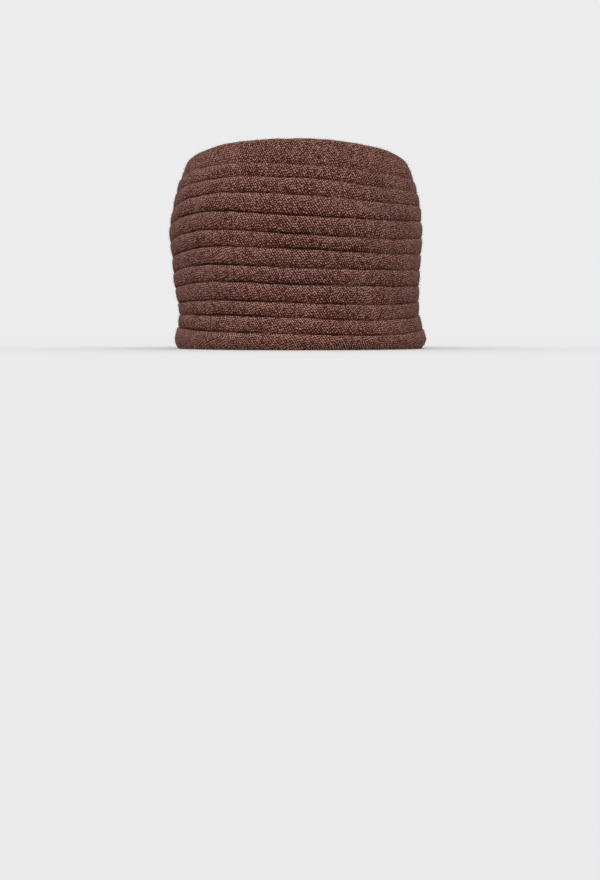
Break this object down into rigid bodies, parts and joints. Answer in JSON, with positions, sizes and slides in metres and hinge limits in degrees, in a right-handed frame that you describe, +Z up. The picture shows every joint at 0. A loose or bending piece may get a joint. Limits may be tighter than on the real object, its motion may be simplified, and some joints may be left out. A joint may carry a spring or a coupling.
{
  "type": "fez hat",
  "caption": "Soft round fez hat in brown wool jersey, an oval side wall with horizontal welts, a turned hem and a flat crown top, open below for the head.",
  "frame": {"origin": "on the ground under the middle of the rim", "axes": "+Z up from the rim to the crown top, -Y towards the front of the hat, +X towards the right side in the picture"},
  "size_m": [0.1702, 0.21, 0.1225],
  "materials": {
    "wool_jersey": "matt brown melange wool jersey, lightly felted"
  },
  "bodies": {
    "root": {"crown_side": "wool_jersey", "crown_top": "wool_jersey"}
  },
  "joints": []
}
